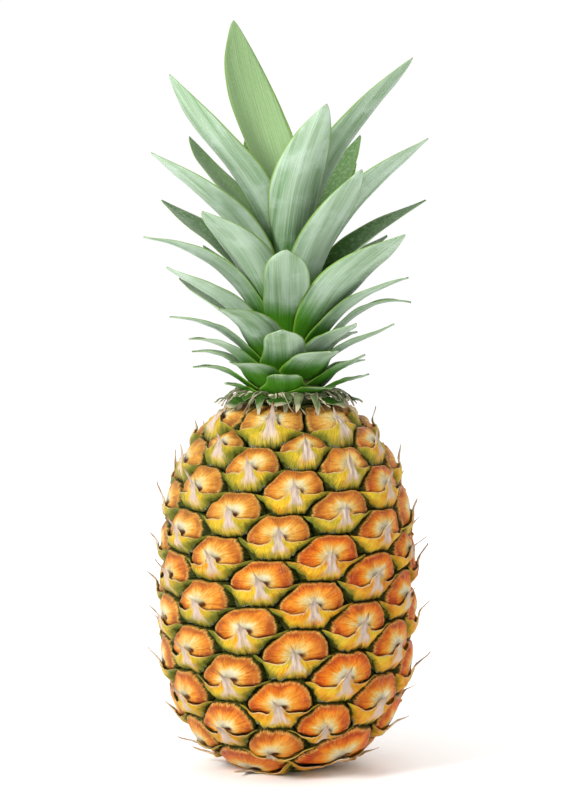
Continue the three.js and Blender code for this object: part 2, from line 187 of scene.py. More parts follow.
class Shader:
    """A material made node by node. An input is a number, a colour or another node's output."""

    def __init__(self, name):
        self.material = bpy.data.materials.new(name)
        self.material.use_nodes = True
        self.tree = self.material.node_tree
        self.tree.nodes.clear()

    def node(self, kind, inputs=None, output=0, **settings):
        """Adds a node and returns one of its outputs."""
        node = self.tree.nodes.new(kind)
        for name, value in settings.items():
            setattr(node, name, value)
        for key, value in (inputs or {}).items():
            if isinstance(value, bpy.types.NodeSocket):
                self.tree.links.new(value, node.inputs[key])
            elif isinstance(value, tuple) and node.inputs[key].type == "RGBA":
                node.inputs[key].default_value = (*value, 1.0) if len(value) == 3 else value
            else:
                node.inputs[key].default_value = value
        return node.outputs[output] if len(node.outputs) else None

    def uv(self, name):
        return self.node("ShaderNodeUVMap", uv_map=name)

    def place(self):
        return self.node("ShaderNodeTexCoord", output="Object")

    def attribute(self, name):
        return self.node("ShaderNodeAttribute", output="Color", attribute_name=name)

    def parts(self, vector):
        node = self.tree.nodes.new("ShaderNodeSeparateXYZ")
        self.tree.links.new(vector, node.inputs[0])
        return node.outputs[0], node.outputs[1], node.outputs[2]

    def join(self, x, y, z=0.0):
        return self.node("ShaderNodeCombineXYZ", {0: x, 1: y, 2: z})

    def math(self, operation, a, b=0.0, clamp=False):
        return self.node("ShaderNodeMath", {0: a, 1: b}, operation=operation, use_clamp=clamp)

    def plus(self, a, b):
        return self.math("ADD", a, b)

    def minus(self, a, b):
        return self.math("SUBTRACT", a, b)

    def apart(self, a, b):
        return self.math("ABSOLUTE", self.minus(a, b))

    def times(self, first, *others):
        for other in others:
            first = self.math("MULTIPLY", first, other)
        return first

    def around(self, value, other, amount, centre=0.5):
        """A value moved by another one's distance from its centre, such as that of a noise."""
        return self.plus(value, self.times(self.minus(other, centre), amount))

    def vector(self, operation, a, b=(0.0, 0.0, 0.0), output=0):
        return self.node("ShaderNodeVectorMath", {0: a, 1: b}, output=output, operation=operation)

    def scaled(self, vector, factors):
        return self.vector("MULTIPLY", vector, factors)

    def length(self, vector):
        return self.vector("LENGTH", vector, output="Value")

    def noise(self, vector, scale, detail=2.0, roughness=0.5):
        inputs = {"Vector": vector, "Scale": scale, "Detail": detail, "Roughness": roughness}
        return self.node("ShaderNodeTexNoise", inputs)

    def blend(self, share, a, b):
        """Colour a where the share is 0, and colour b where it is 1."""
        return self.node("ShaderNodeMix", {0: share, 6: a, 7: b}, output=2, data_type="RGBA")

    def step(self, value, low, high, start=0.0, end=1.0):
        """An S-curve from start, where the value is low, to end, where it is high."""
        inputs = {"Value": value, "From Min": low, "From Max": high, "To Min": start, "To Max": end}
        return self.node("ShaderNodeMapRange", inputs, interpolation_type="SMOOTHSTEP")

    def ramp(self, value, stops):
        """A colour ramp from (place, colour) pairs."""
        node = self.tree.nodes.new("ShaderNodeValToRGB")
        self.tree.links.new(value, node.inputs[0])
        elements = node.color_ramp.elements
        while len(elements) < len(stops):
            elements.new(1.0)
        for element, (place, colour) in zip(elements, stops):
            element.position = place
            element.color = (*colour, 1.0)
        return node.outputs[0]

    def finish(self, colour, roughness, height, bump, shine=0.5):
        """The surface: its colour and roughness, a bump of the given depth in metres, and its shine."""
        inputs = {
            "Base Color": colour,
            "Roughness": roughness,
            "Normal": self.node("ShaderNodeBump", {"Height": height, "Distance": bump}),
            "Specular IOR Level": shine,
        }
        surface = self.node("ShaderNodeBsdfPrincipled", inputs)
        self.node("ShaderNodeOutputMaterial", {"Surface": surface})
        return self.material


RIPE_EYE = (  # from the middle of an orange eye to its rim
    (0.14, (0.88, 0.78, 0.52)),
    (0.26, (0.86, 0.56, 0.14)),
    (0.38, (0.84, 0.30, 0.012)),
    (0.52, (0.74, 0.140, 0.004)),
    (0.68, (0.38, 0.035, 0.003)),
    (0.82, (0.66, 0.11, 0.005)),
    (0.94, (0.78, 0.30, 0.022)),
)
YOUNG_EYE = (  # the same for a yellow and tan one
    (0.12, (0.88, 0.78, 0.52)),
    (0.26, (0.88, 0.64, 0.20)),
    (0.42, (0.72, 0.34, 0.045)),
    (0.60, (0.42, 0.15, 0.020)),
    (0.76, (0.24, 0.09, 0.014)),
    (0.92, (0.62, 0.40, 0.12)),
)
BRACT_STREAKS = (  # olive, yellow, orange and red-brown streaks
    (0.15, (0.32, 0.27, 0.020)),
    (0.35, (0.64, 0.46, 0.022)),
    (0.48, (0.86, 0.56, 0.030)),
    (0.62, (0.84, 0.38, 0.012)),
    (0.82, (0.66, 0.19, 0.010)),
)


def rays_from_middle(s, disc, reach, seed):
    """Coarse and fine streaks that run from the middle of an eye to its rim."""
    turn_x, turn_y, _ = s.parts(s.scaled(s.vector("NORMALIZE", disc), (5.0, 5.0, 1.0)))
    coarse = s.noise(s.join(turn_x, turn_y, s.around(seed, reach, 0.9, 0.0)), 2.2, 5.0, 0.62)
    fine = s.noise(s.join(turn_x, turn_y, s.around(seed, reach, 1.6, 0.0)), 7.0, 4.0, 0.7)
    return coarse, fine


def rim_colour(s, colour, reach, ray, fine, green):
    """Pale hairs at the edge of the dome, then moss, then the dark bottom of the groove, its own dark green
    deepened by painted shade.
    """
    scallop = s.around(reach, ray, 0.13)
    hairs = s.times(s.step(scallop, 0.76, 0.86), s.step(fine, 0.45, 0.60, 0.1, 0.9))
    colour = s.blend(hairs, colour, (0.72, 0.46, 0.10))
    mossy = s.blend(green, (0.060, 0.045, 0.008), (0.050, 0.070, 0.010))
    moss_hairs = s.blend(s.step(fine, 0.46, 0.60), (0.012, 0.022, 0.003), (0.22, 0.23, 0.03))
    colour = s.blend(s.step(scallop, 0.865, 0.90), colour, mossy)
    colour = s.blend(s.step(scallop, 0.91, 0.95), colour, moss_hairs)
    # The near-black groove bottom is partly the groove's own dark green and partly painted shade.
    return s.blend(s.step(reach, 0.955, 0.99), colour, (0.012, 0.020, 0.003))


def rind_material():
    """Eyes: a pale middle, orange rays, a hairy pale rim and a dark green groove around, with painted shade
    at the groove's bottom, under the bract and in the pit beside the tip.
    """
    s = Shader("rind")
    disc = s.uv("disc")
    x, y, _ = s.parts(disc)
    warm, green, chance = s.parts(s.attribute("tone"))
    seed = s.times(chance, 37.0)
    reach = s.length(disc)
    ray, fine = rays_from_middle(s, disc, reach, seed)
    patches = s.noise(s.join(x, y, seed), 2.3, 3.0)
    fibres = s.noise(s.join(s.times(x, 9.0), y, seed), 3.0, 5.0, 0.7)
    from_middle = s.length(s.join(s.times(x, 0.80), s.minus(y, 0.12)))
    place = s.around(s.around(from_middle, ray, 0.55), patches, 0.60)
    place = s.around(place, fine, 0.35)
    colour = s.blend(warm, s.ramp(place, YOUNG_EYE), s.ramp(place, RIPE_EYE))
    colour = s.blend(s.step(fibres, 0.56, 0.72, 0.0, 0.35), colour, (0.80, 0.60, 0.33))
    streaks = s.step(s.around(ray, fine, 0.5), 0.45, 0.30)
    dark_rays = s.times(streaks, s.step(reach, 0.35, 0.75, 0.0, 0.75))
    colour = s.blend(dark_rays, colour, (0.22, 0.035, 0.005))
    colour = rim_colour(s, colour, reach, ray, fine, green)
    # Painted shade: the rind under the bract is made dark olive.
    covered = s.step(s.plus(y, s.times(ray, 0.08)), -0.30, -0.42)
    colour = s.blend(covered, colour, s.blend(ray, (0.04, 0.06, 0.008), (0.20, 0.20, 0.03)))
    # Painted shadow: a dark red-brown crescent in the pit beside the tip of the bract.
    pit = s.length(s.vector("SUBTRACT", s.scaled(disc, (1.0, 1.4, 1.0)), (0.13, -0.09, 0.0)))
    colour = s.blend(s.step(pit, 0.20, 0.05, 0.0, 0.9), colour, (0.20, 0.018, 0.003))
    height = s.plus(s.times(ray, 0.6), s.times(fibres, 0.4))
    rough = s.plus(s.times(patches, 0.25), 0.22)
    return s.finish(colour, rough, s.around(height, fine, 0.5, 0.0), 0.0016, 0.15)


def papery_share(s, wide, y, fibres):
    """Where a bract is dry white paper: in its middle, widening downwards and ending in streaks."""
    spread = s.step(y, -0.80, -0.15, 0.42, 0.15)
    papery = s.times(
        s.step(s.math("DIVIDE", wide, spread), 1.3, 0.5),
        s.step(y, -0.85, -0.40, 0.05, 1.0),
    )
    return s.times(papery, s.step(s.around(fibres, papery, 0.20), 0.42, 0.55, 0.05, 1.0))


def bract_edges(s, colour, wide, y, up, grains, chance):
    """The pale lip, the dry brown tip and the ragged fringe along the lower edge."""
    lip_grain = s.step(s.around(up, grains, 0.2), 0.90, 0.99)
    lip = s.times(lip_grain, s.step(wide, 1.05, 0.55, 0.1, 0.7))
    colour = s.blend(lip, colour, (0.82, 0.60, 0.34))
    dry = s.times(s.step(y, 0.25, 0.60), s.step(chance, 0.2, 0.8, 0.35, 0.95))
    colour = s.blend(dry, colour, (0.42, 0.16, 0.045))
    beside = s.apart(wide, 0.50)
    fringe = s.times(s.step(up, 0.16, 0.02), s.step(beside, 0.22, 0.06))
    fringe = s.times(fringe, s.step(grains, 0.46, 0.58, 0.0, 0.9))
    return s.blend(fringe, colour, (0.50, 0.50, 0.36))


def bract_material():
    """The scale below each eye: yellow and green wings, and a papery middle drawn out to a dry tip."""
    s = Shader("bract")
    x, y, _ = s.parts(s.uv("disc"))
    _, up, _ = s.parts(s.uv("scale"))
    warm, green, chance = s.parts(s.attribute("tone"))
    seed = s.times(chance, 53.0)
    wide = s.math("ABSOLUTE", x)
    patches = s.noise(s.join(x, y, seed), 2.2, 3.0, 0.55)
    fan = s.math("DIVIDE", x, s.math("MAXIMUM", s.minus(0.40, y), 0.22))
    fibres = s.noise(s.join(s.times(fan, 11.0), s.times(y, 0.9), seed), 2.4, 5.0, 0.70)
    grains = s.noise(s.join(s.times(fan, 26.0), y, seed), 2.0, 3.0)
    body = s.ramp(s.around(s.around(patches, fibres, 0.7), warm, 0.25), BRACT_STREAKS)
    olive = s.blend(patches, (0.10, 0.13, 0.012), (0.28, 0.29, 0.03))
    edge = s.plus(s.times(wide, 0.70), s.times(s.minus(1.0, up), 0.45))
    edge = s.around(s.around(edge, grains, 0.9), green, 0.7)
    colour = s.blend(s.step(edge, 0.44, 0.98), body, olive)
    # Painted shadow: the lower edge of the bract, where it tucks into the groove, is made dark green.
    ragged = s.around(up, grains, 0.30)
    colour = s.blend(s.step(ragged, 0.20, 0.02, 0.0, 0.85), colour, (0.028, 0.042, 0.004))
    papery = papery_share(s, wide, y, fibres)
    colour = s.blend(papery, colour, s.blend(grains, (0.66, 0.42, 0.30), (0.88, 0.80, 0.72)))
    colour = bract_edges(s, colour, wide, y, up, grains, chance)
    lines = s.times(s.step(fibres, 0.60, 0.74, 0.0, 0.65), s.step(up, 0.1, 0.5))
    colour = s.blend(lines, colour, (0.30, 0.10, 0.025))
    pale_lines = s.times(s.step(fibres, 0.40, 0.30, 0.0, 0.5), s.step(wide, 0.9, 0.3))
    colour = s.blend(pale_lines, colour, (0.80, 0.66, 0.42))
    rough = s.plus(s.times(papery, 0.35), 0.42)
    return s.finish(colour, rough, s.around(fibres, grains, 0.6, 0.0), 0.0016, 0.15)


def leaf_material():
    """Stiff crown leaves: pale bloom outside, green inside, fine veins, bright margins, brown point."""
    s = Shader("leaf")
    across, along, _ = s.parts(s.uv("blade"))
    wide, far, _ = s.parts(s.uv("veins"))
    outer, rank, chance = s.parts(s.attribute("tone"))
    seed = s.times(chance, 41.0)
    slow = s.times(far, 0.16)
    veins = s.noise(s.join(s.times(wide, 9.0), slow, seed), 16.0, 3.0, 0.6)
    bands = s.noise(s.join(s.times(wide, 2.2), slow, seed), 9.0, 2.0, 0.5)
    mottle = s.noise(s.join(wide, far, seed), 7.0, 4.0, 0.6)
    specks = s.noise(s.join(wide, far, seed), 60.0, 3.0, 0.7)
    bloom = s.blend(s.step(bands, 0.24, 0.76), (0.16, 0.28, 0.13), (0.41, 0.54, 0.39))
    bloom = s.blend(s.step(veins, 0.42, 0.66, 0.0, 0.45), bloom, (0.46, 0.60, 0.45))
    bloom = s.blend(s.step(mottle, 0.45, 0.70, 0.0, 0.50), bloom, (0.52, 0.65, 0.54))
    fresh = s.blend(bands, (0.022, 0.120, 0.003), (0.075, 0.26, 0.010))
    foot = s.around(s.around(along, mottle, 0.20), veins, 0.10)
    bare = s.step(rank, 0.0, 0.40, 0.80, 0.26)
    outside = s.blend(s.step(s.math("DIVIDE", foot, bare), 0.40, 1.30), fresh, bloom)
    dark = s.blend(bands, (0.020, 0.075, 0.010), (0.060, 0.150, 0.025))
    light = s.blend(bands, (0.17, 0.30, 0.11), (0.32, 0.46, 0.22))
    inside = s.blend(s.step(rank, 0.84, 0.97), dark, light)
    inside = s.blend(s.step(specks, 0.50, 0.62, 0.0, 0.30), inside, (0.30, 0.42, 0.24))
    # Painted shade: the inner side darkens towards the foot of the leaf, where the leaves crowd together.
    inside = s.blend(s.step(along, 0.05, 0.50, 0.85, 0.0), inside, (0.016, 0.055, 0.005))
    colour = s.blend(outer, inside, outside)
    side = s.around(s.apart(across, 0.5), mottle, 0.02)
    colour = s.blend(s.step(side, 0.462, 0.486, 0.0, 0.85), colour, (0.17, 0.30, 0.025))
    point = s.around(along, mottle, 0.06)
    colour = s.blend(s.step(point, 0.955, 0.99, 0.0, 0.8), colour, (0.15, 0.10, 0.045))
    rough = s.plus(s.times(mottle, 0.2), 0.38)
    height = s.plus(veins, s.times(bands, 1.2))
    return s.finish(colour, rough, height, 0.0004, 0.3)


def dry_leaf_material():
    """Small leaves of the collar: dark green, with straw-coloured margins and a brown tip."""
    s = Shader("dry_leaf")
    across, along, _ = s.parts(s.uv("blade"))
    wide, far, _ = s.parts(s.uv("veins"))
    _, straw, chance = s.parts(s.attribute("tone"))
    seed = s.times(chance, 29.0)
    slow = s.times(far, 0.3)
    veins = s.noise(s.join(s.times(wide, 10.0), slow, seed), 16.0, 4.0, 0.65)
    mottle = s.noise(s.join(wide, far, seed), 12.0, 4.0, 0.6)
    green = s.blend(mottle, (0.008, 0.036, 0.002), (0.040, 0.12, 0.006))
    pale = s.blend(veins, (0.42, 0.34, 0.17), (0.72, 0.68, 0.52))
    side = s.around(s.apart(across, 0.5), mottle, 0.20)
    far_end = s.step(s.around(along, mottle, 0.4), 0.70, 0.95)
    dry = s.math("MAXIMUM", s.step(side, 0.43, 0.50, 0.0, 0.5), far_end)
    dry = s.math("MAXIMUM", dry, straw)
    colour = s.blend(dry, green, pale)
    brown = s.step(s.around(along, mottle, 0.5), 0.80, 1.05, 0.0, 0.7)
    colour = s.blend(brown, colour, (0.20, 0.10, 0.035))
    return s.finish(colour, 0.7, veins, 0.0006, 0.12)


def stalk_material():
    """The dry cut stalk: pale fibre ends in rings, with a brown skin around."""
    s = Shader("stalk")
    x, y, _ = s.parts(s.place())
    flat = s.join(x, y)
    distance = s.length(flat)
    rings = s.noise(s.join(distance, 0.0), 900.0)
    dots = s.node("ShaderNodeTexVoronoi", {"Vector": flat, "Scale": 900.0})
    patches = s.noise(flat, 220.0, 4.0, 0.6)
    fibre = s.plus(s.times(rings, 0.35), s.times(patches, 0.65))
    colour = s.ramp(fibre, [
        (0.25, (0.16, 0.075, 0.025)),
        (0.45, (0.40, 0.25, 0.10)),
        (0.62, (0.62, 0.46, 0.24)),
        (0.8, (0.72, 0.58, 0.36)),
    ])
    colour = s.blend(s.step(dots, 0.32, 0.12, 0.0, 0.6), colour, (0.20, 0.10, 0.035))
    colour = s.blend(s.step(distance, 0.0088, 0.0108), colour, (0.12, 0.055, 0.02))
    height = s.plus(fibre, s.times(dots, -0.4))
    return s.finish(colour, 0.85, height, 0.0012)


def stem_material():
    """The crown's own short stem, pale green and mostly hidden by the leaf feet."""
    s = Shader("crown_stem")
    mottle = s.noise(s.place(), 160.0, 4.0, 0.6)
    colour = s.blend(mottle, (0.07, 0.13, 0.015), (0.30, 0.36, 0.11))
    return s.finish(colour, 0.6, mottle, 0.001)


def floor_material():
    """A near-white floor."""
    s = Shader("floor")
    grain = s.noise(s.place(), 3.0, 3.0, 0.5)
    return s.finish(s.blend(grain, (0.985, 0.985, 0.985), (1.0, 1.0, 1.0)), 0.7, grain, 0.0002)


# ---- Fruit: eyes ----

GROOVE = 5.0 * MM  # from the crests of the eyes down to the grooves
EDGE_STEPS = 4  # finer steps along each side of an eye's rim in the frame
# Reaches of the rings of an eye's mesh on the disc of the eye, whose rim is at 1.
EYE_RINGS = (1.0, 0.985, 0.965, 0.945, 0.925, 0.90, 0.87, 0.82, 0.74, 0.64, 0.52, 0.40, 0.28, 0.17, 0.08)
EYE_LEAN = math.radians(6)  # the rows of eyes rise towards +X
DOME_EDGE = 0.90  # where the dome of an eye ends and its groove starts, on the disc of the eye
WING_DROP = math.radians(10)  # how far below the middle of the disc the two side corners of an eye lie
EYE_SIDES = 8  # fewest neighbours of the point in the middle of an eye in the frame
AXIS_REACH = 5 * MM  # points nearer to the fruit's axis belong to its base and seat
HALF_WIDTH = 64 * MM  # of the fruit
ROUNDING_STEP = 6  # degrees between the directions over which the reach of a dome is averaged
ROUNDING_STEPS = 9  # of them to either side
BASE_TONE = (0.3, 0.2, 0.5)
SEAT_TONE = (0.3, 0.8, 0.5)


class Eye:
    """One fruitlet: its middle, the way it faces, and its rim as read from the frame."""

    def __init__(self, number, tip, crown, rim, points):
        self.number = number
        self.rng = random.Random(EYE_SEED + number)
        self.middle = mean(points[v] for v in crown)
        self.out = (points[tip] - self.middle).normalized()
        self.set_axes()
        self.rim = sorted(rim, key=lambda v: self.angle(points[v]))
        self.out = self.facing([points[v] for v in self.rim])
        self.set_axes()
        self.rim.sort(key=lambda v: self.angle(points[v]))

    def set_axes(self):
        """Right and up on the eye's face, seen from outside."""
        up = (UP - self.out * self.out.dot(UP)).normalized()
        right = up.cross(self.out)
        self.right = right * math.cos(EYE_LEAN) + up * math.sin(EYE_LEAN)
        self.up = up * math.cos(EYE_LEAN) - right * math.sin(EYE_LEAN)

    def angle(self, point):
        offset = point - self.middle
        return math.atan2(offset.dot(self.up), offset.dot(self.right))

    def facing(self, loop):
        """The normal of the face that a loop of points spans."""
        area = Vector()
        for a, b in zip(loop, loop[1:] + loop[:1]):
            area += (a - self.middle).cross(b - self.middle)
        return area.normalized()


def read_eyes():
    """All eyes of the frame's fruit, from the lowest up. Three equally long rings lie round an eye's tip."""
    points, neighbours = surface_of("fruit")
    found = []
    for tip, near in enumerate(neighbours):
        if len(near) < EYE_SIDES or math.hypot(points[tip].x, points[tip].y) <= AXIS_REACH:
            continue
        crown, shoulder, rim = rings_from(tip, neighbours, 3)[:3]
        if len(crown) == len(shoulder) == len(rim):
            found.append((tip, crown, rim))
    found.sort(key=lambda item: points[item[0]].z)
    return [Eye(i, tip, crown, rim, points) for i, (tip, crown, rim) in enumerate(found)], points


EYES, FRUIT_POINTS = read_eyes()
FRUIT_TOP = max(FRUIT_POINTS[v].z for eye in EYES for v in eye.rim)


def rim_normals():
    """At each rim point, the mean of the directions that its eyes face."""
    facing = {}
    for eye in EYES:
        for v in eye.rim:
            facing.setdefault(v, []).append(eye.out)
    return {v: mean(normals).normalized() for v, normals in facing.items()}


def rim_depth(point):
    """Rims sit in a groove, except along the flat base and along the seat of the crown."""
    flat = point.z < 0.2 * MM or point.z > FRUIT_TOP - 0.2 * MM
    return 0.0 if flat else GROOVE


def sample_rims():
    """Gives each eye its finely stepped rim, the shape of its dome, its side corners and its tone."""
    normals = rim_normals()
    for eye in EYES:
        eye.samples = [sample for side in rim_sides(eye) for sample in side_samples(side, normals)]
        eye.angles = [eye.angle(crest) for crest, _, _ in eye.samples]
        eye.dome = dome_shares(eye)
        corners = rim_corners(eye)
        eye.right_corner = nearest_angle(corners, math.radians(-8))
        eye.left_corner = nearest_angle(corners, math.radians(188))
        eye.tone = eye_tone(eye)


def rim_sides(eye):
    return zip(eye.rim, eye.rim[1:] + eye.rim[:1])


def side_samples(side, normals):
    """Steps along one side of a rim: crest-level point, normal and groove depth, with a little drift."""
    (a, normal_a, depth_a), (b, normal_b, depth_b) = (
        (FRUIT_POINTS[v], normals[v], rim_depth(FRUIT_POINTS[v])) for v in side
    )
    samples = []
    for step in range(EDGE_STEPS):
        share = step / EDGE_STEPS
        point = a.lerp(b, share)
        normal = normal_a.lerp(normal_b, share).normalized()
        depth = mix(depth_a, depth_b, share)
        drift = Vector([wobble(point, 130, seed) for seed in (0.0, 9.0, 21.0)]) * 1.3 * MM
        point = point + (drift - normal * drift.dot(normal)) * (depth / GROOVE)
        samples.append((point + normal * depth, normal, depth))
    return samples


def rim_corners(eye):
    """Angles of the rim points where the rim turns."""
    before_and_after = zip(eye.rim, eye.rim[1:] + eye.rim[:1], eye.rim[2:] + eye.rim[:2])
    return [
        eye.angle(FRUIT_POINTS[b])
        for a, b, c in before_and_after
        if ((FRUIT_POINTS[a] + FRUIT_POINTS[c]) / 2 - FRUIT_POINTS[b]).length > 0.3 * MM
    ]


def dome_shares(eye):
    """How far the dome reaches towards each rim point, as a share: it is rounder than the eye's rim."""
    eye.dome = [1.0] * len(eye.samples)
    turns = [math.radians(turn) for turn in range(0, 360, ROUNDING_STEP)]
    reaches = [(rim_at(eye, turn)[0] - eye.middle).length for turn in turns]
    count = len(reaches)
    window = range(-ROUNDING_STEPS, ROUNDING_STEPS + 1)
    weights = [math.cos(math.radians(ROUNDING_STEP * k * 1.5)) for k in window]
    rounded = []
    for i in range(count):
        weighed = sum(reaches[(i + k) % count] * weight for k, weight in zip(window, weights))
        rounded.append(weighed / sum(weights))
    shares = []
    for (crest, _, _), angle in zip(eye.samples, eye.angles):
        place = math.degrees(angle) % 360 / ROUNDING_STEP
        low = int(place) % count
        near = mix(rounded[low], rounded[(low + 1) % count], place - int(place))
        shares.append(min(0.955, 0.985 * near / (crest - eye.middle).length))
    return shares


def rim_share(dome, reach):
    """A reach on the disc of an eye as a share of the way to its rim."""
    if reach < DOME_EDGE:
        return dome * reach / DOME_EDGE
    if reach < 1:
        return mix(dome, 1.0, (reach - DOME_EDGE) / (1 - DOME_EDGE))
    return reach


def nearest_angle(angles, wanted, most=math.radians(12)):
    """The listed angle nearest to the wanted one, kept within reach of it."""
    def gap(angle):
        return (angle - wanted + math.pi) % math.tau - math.pi

    best = min((gap(a) for a in angles), key=abs)
    return wanted + max(-most, min(most, best))


def eye_tone(eye):
    """How orange, how green, and a chance value. Low eyes are riper; right-hand eyes are made more orange,
    darker and less green as painted shade.
    """
    height = eye.middle.z / FRUIT_TOP
    side = eye.middle.x / HALF_WIDTH
    # The side term is painted shade: eyes on the right, away from the key light, are made redder, darker and
    # less green.
    warm = 0.78 - 0.75 * smooth(0.40, 1.0, height) + 0.38 * side + eye.rng.uniform(-0.2, 0.2)
    green = 0.45 + 0.25 * height - 0.25 * side + eye.rng.uniform(-0.15, 0.15)
    return (min(max(warm, 0), 1), min(max(green, 0), 1), eye.rng.random())


def to_disc_angle(eye, angle):
    """The eye's own angle, turned so that its side corners lie evenly, just below the middle."""
    return between_knots(disc_knots(eye), angle)


def from_disc_angle(eye, angle):
    """The other way round: from an angle on the disc to the eye's own angle."""
    return between_knots([(disc, own) for own, disc in disc_knots(eye)], angle)


def between_knots(knots, angle):
    """The second angle of the pairs for one of the first."""
    angle = (angle + math.pi / 2) % math.tau - math.pi / 2
    for (a0, b0), (a1, b1) in zip(knots, knots[1:]):
        if angle <= a1:
            return mix(b0, b1, (angle - a0) / (a1 - a0))
    return angle


def disc_knots(eye):
    """Pairs of an eye's own angle and the same direction's angle on its disc."""
    quarter = math.pi / 2
    return [
        (-quarter, -quarter),
        (eye.right_corner, -WING_DROP),
        (quarter, quarter),
        (eye.left_corner, math.pi + WING_DROP),
        (3 * quarter, 3 * quarter),
    ]


def rim_at(eye, angle):
    """The crest-level rim point, its normal, groove depth and dome share in one direction."""
    count = len(eye.samples)
    for i in range(count):
        j = (i + 1) % count
        turn = (eye.angles[j] - eye.angles[i]) % math.tau
        gone = (angle - eye.angles[i]) % math.tau
        if gone <= turn:
            share = gone / turn if turn else 0.0
            a, b = eye.samples[i], eye.samples[j]
            dome = mix(eye.dome[i], eye.dome[j], share)
            return a[0].lerp(b[0], share), a[1].lerp(b[1], share), mix(a[2], b[2], share), dome
    return (*eye.samples[0], eye.dome[0])


def crest_at(eye, share, crest, normal):
    """A place on the domed skin of an eye, from its middle (0) to its rim (1), and the normal there."""
    facing = eye.out.lerp(normal, share).normalized()
    bulge = 2.0 * MM * share * (1 - min(share, 1.0))
    return eye.middle.lerp(crest, share) + facing * bulge, facing


def lip_height(eye, x):
    """The upper edge of the bract across the disc, from wing to wing."""
    wide = abs(x)
    sag = mix(-0.17, -0.25, smooth(0.15, 0.50, wide)) + 0.05 * smooth(0.60, 1.05, wide)
    waves = 0.09 * wobble((3.2 * x, eye.number, 0.0), 1.0, 3.0) * smooth(0.15, 0.4, wide)
    return sag + waves


def eye_relief(eye, reach, angle, depth):
    """How far the rind lies below the crest of its eye, at a reach on the disc of the eye."""
    disc = to_disc_angle(eye, angle)
    x, y = reach * math.cos(disc), reach * math.sin(disc)
    seed = eye.tone[2] * 9
    scallop = 0.012 * math.sin(17 * disc + seed) + 0.010 * math.sin(29 * disc + 2 * seed)
    fall = depth * smooth(0.875, 0.975, reach + scallop * smooth(0.5, 0.9, reach))
    dome = 2.4 * MM * reach ** 3
    under = 2.4 * MM * smooth(0.04, -0.12, y - lip_height(eye, x)) * smooth(1.0, 0.9, reach)
    pit = 2.0 * MM * math.exp(-((x - 0.12) ** 2 + (1.4 * (y + 0.06)) ** 2) / 0.012)
    rays = 0.28 * MM * math.sin(21 * disc + 3 * math.sin(5 * disc + seed)) * smooth(0.25, 0.7, reach)
    waves = 0.6 * MM * wobble((x, y, eye.number), 2.4, seed)
    flat = depth / GROOVE
    return fall + (dome + under + pit + waves + rays) * mix(smooth(1.0, 0.7, reach), 1.0, flat)


def rind_surface(build):
    """The domes of all eyes, whose outermost rings meet at the bottom of the grooves."""
    for eye in EYES:
        turns = [to_disc_angle(eye, angle) for angle in eye.angles]
        rows = []
        for reach in EYE_RINGS:
            row = []
            for (crest, normal, depth), angle, dome in zip(eye.samples, eye.angles, eye.dome):
                place, facing = crest_at(eye, rim_share(dome, reach), crest, normal)
                if reach == 1.0:
                    row.append(build.add(crest - normal * depth))
                else:
                    row.append(build.add(place - facing * eye_relief(eye, reach, angle, depth)))
            rows.append((row, [(reach * math.cos(turn), reach * math.sin(turn)) for turn in turns]))
        tones = [eye.tone] * len(eye.samples)
        for (row_a, disc_a), (row_b, disc_b) in zip(rows, rows[1:]):
            build.strip(row_a, row_b, closed=True, disc=(disc_a, disc_b), tone=(tones, tones))
        last, disc_last = rows[-1]
        centre = build.add(eye.middle - eye.out * eye_relief(eye, 0.0, 0.0, GROOVE))
        for i, v in enumerate(last):
            j = (i + 1) % len(last)
            build.face([v, last[j], centre], disc=[disc_last[i], disc_last[j], (0, 0)], tone=[eye.tone] * 3)


def close_rim(build, chosen, levels, tone):
    """Closes the rind inside the flat base or the seat: chosen rim points, then rings of (reach, height)."""
    loop = {}
    for eye in EYES:
        for crest, _, depth in eye.samples:
            if depth == 0.0 and chosen(crest):
                loop[round(math.atan2(crest.y, crest.x), 4)] = crest
    outline = [loop[key] for key in sorted(loop)]
    rows = [[build.add(point) for point in outline]]
    for reach, height in levels:
        ring = []
        for point in outline:
            flat = Vector((point.x, point.y, 0)).normalized() * reach
            ring.append(build.add((flat.x, flat.y, height)))
        rows.append(ring)
    tones = [tone] * len(outline)
    discs = [(0.0, 0.97)] * len(outline)
    for a, b in zip(rows, rows[1:]):
        build.strip(a, b, closed=True, disc=(discs, discs), tone=(tones, tones))
    middle = build.add((0, 0, levels[-1][1]))
    for i, v in enumerate(rows[-1]):
        j = (i + 1) % len(rows[-1])
        build.face([v, rows[-1][j], middle], disc=[(0.0, 0.97)] * 3, tone=[tone] * 3)


def make_rind():
    """The fruit's skin with all its eyes, closed by the flat base and the crown's seat."""
    sample_rims()
    build = Build()
    rind_surface(build)
    stalk_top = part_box("cut_stalk")[1][2]
    stalk_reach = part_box("cut_stalk")[1][0]
    stem_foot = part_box("crown_stem")[0][2]
    stem_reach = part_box("crown_stem")[1][0]
    socket = stalk_reach + 0.5 * MM
    base = [
        (socket + 3 * MM, 0.0),
        (socket + 1 * MM, 0.6 * MM),
        (socket, 1.4 * MM),
        (socket, stalk_top + 0.3 * MM),
    ]
    seat = [(stem_reach + 0.6 * MM, FRUIT_TOP), (stem_reach + 0.5 * MM, stem_foot - 0.3 * MM)]
    close_rim(build, lambda p: p.z < FRUIT_TOP / 2, base, BASE_TONE)
    close_rim(build, lambda p: p.z > FRUIT_TOP / 2, seat, SEAT_TONE)
    rind = build.make("fruit_rind", rind_material(), merge=0.03 * MM)
    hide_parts("fruit")
    return rind


# ---- Fruit: bracts ----

BRACT_COLUMNS = 36
BRACT_ROWS = 13
BRACT_THICKNESS = 0.35 * MM


